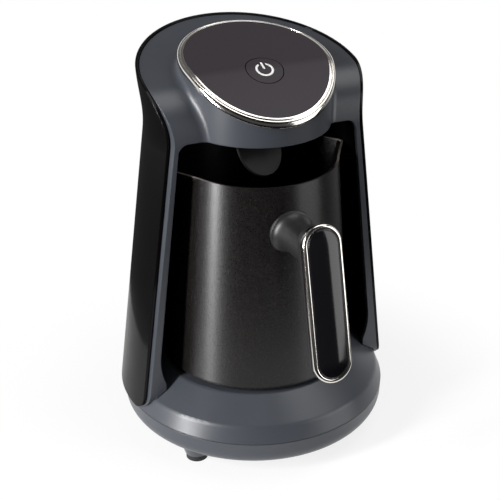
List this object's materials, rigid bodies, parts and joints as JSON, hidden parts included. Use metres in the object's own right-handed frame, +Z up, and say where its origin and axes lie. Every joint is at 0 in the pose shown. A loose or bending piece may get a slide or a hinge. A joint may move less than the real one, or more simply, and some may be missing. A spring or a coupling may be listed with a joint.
{
  "type": "electric turkish coffee maker",
  "caption": "Tabletop coffee maker: a dark spouted pot with an upright handle stands on a round heated base, under a sloping control head on a wrap-around black shell.",
  "frame": {"origin": "on the vertical axis of the round base, at the level of the surface it stands on", "axes": "+Z up, +X to the right of a viewer who faces the machine, +Y to the back; the pot's handle points along -Y"},
  "size_m": [0.1572, 0.1833, 0.227],
  "materials": {
    "graphite_plastic": "satin",
    "gloss_black_plastic": "gloss",
    "black_plastic": "matte",
    "smoked_plastic": "gloss",
    "white_plastic": "satin",
    "smoked_window": "gloss",
    "chrome": "polished",
    "nonstick_coat": "fine speckled non-stick coat",
    "rubber": "matte",
    "steel": "satin",
    "plate_aluminium": "satin",
    "board_green": "satin"
  },
  "bodies": {
    "root": {"base_tray": "graphite_plastic", "rubber_feet": "rubber", "base_cover": "graphite_plastic", "base_screws": "steel", "outer_shell": "gloss_black_plastic", "front_frame": "graphite_plastic", "cavity_wall": "gloss_black_plastic", "head_plate": "gloss_black_plastic", "head_screws": "steel", "sensor_window": "smoked_window", "sensor_board": "board_green", "trim_ring": "chrome", "control_panel": "smoked_plastic", "switch_board": "board_green", "switch_body": "black_plastic", "status_led": "white_plastic", "buzzer": "black_plastic", "board_screws": "steel", "hot_plate": "plate_aluminium", "heating_element": "steel", "heat_shield": "steel", "thermostat": "plate_aluminium", "thermostat_bracket": "steel", "thermal_fuse": "white_plastic", "power_board": "board_green", "relay": "black_plastic", "capacitor": "plate_aluminium", "terminal_block": "black_plastic", "cord_gland": "rubber", "wire_harness": "black_plastic"},
    "pot": {"pot_body": "nonstick_coat", "handle_boss": "black_plastic", "handle_grip": "black_plastic", "handle_trim": "chrome", "handle_insert": "gloss_black_plastic", "handle_screw": "steel"},
    "power_button": {"button_cap": "smoked_plastic", "power_icon": "white_plastic"}
  },
  "joints": [
    {"name": "pot_slide", "type": "slide", "parent": "root", "child": "pot", "axis": [0, -1, 0], "range_m": [0, 0.16]},
    {"name": "power_button_press", "type": "slide", "parent": "root", "child": "power_button", "axis": [0, 0.414, -0.9103], "range_m": [0, 0.0008], "stiffness_N_per_m": 900}
  ]
}
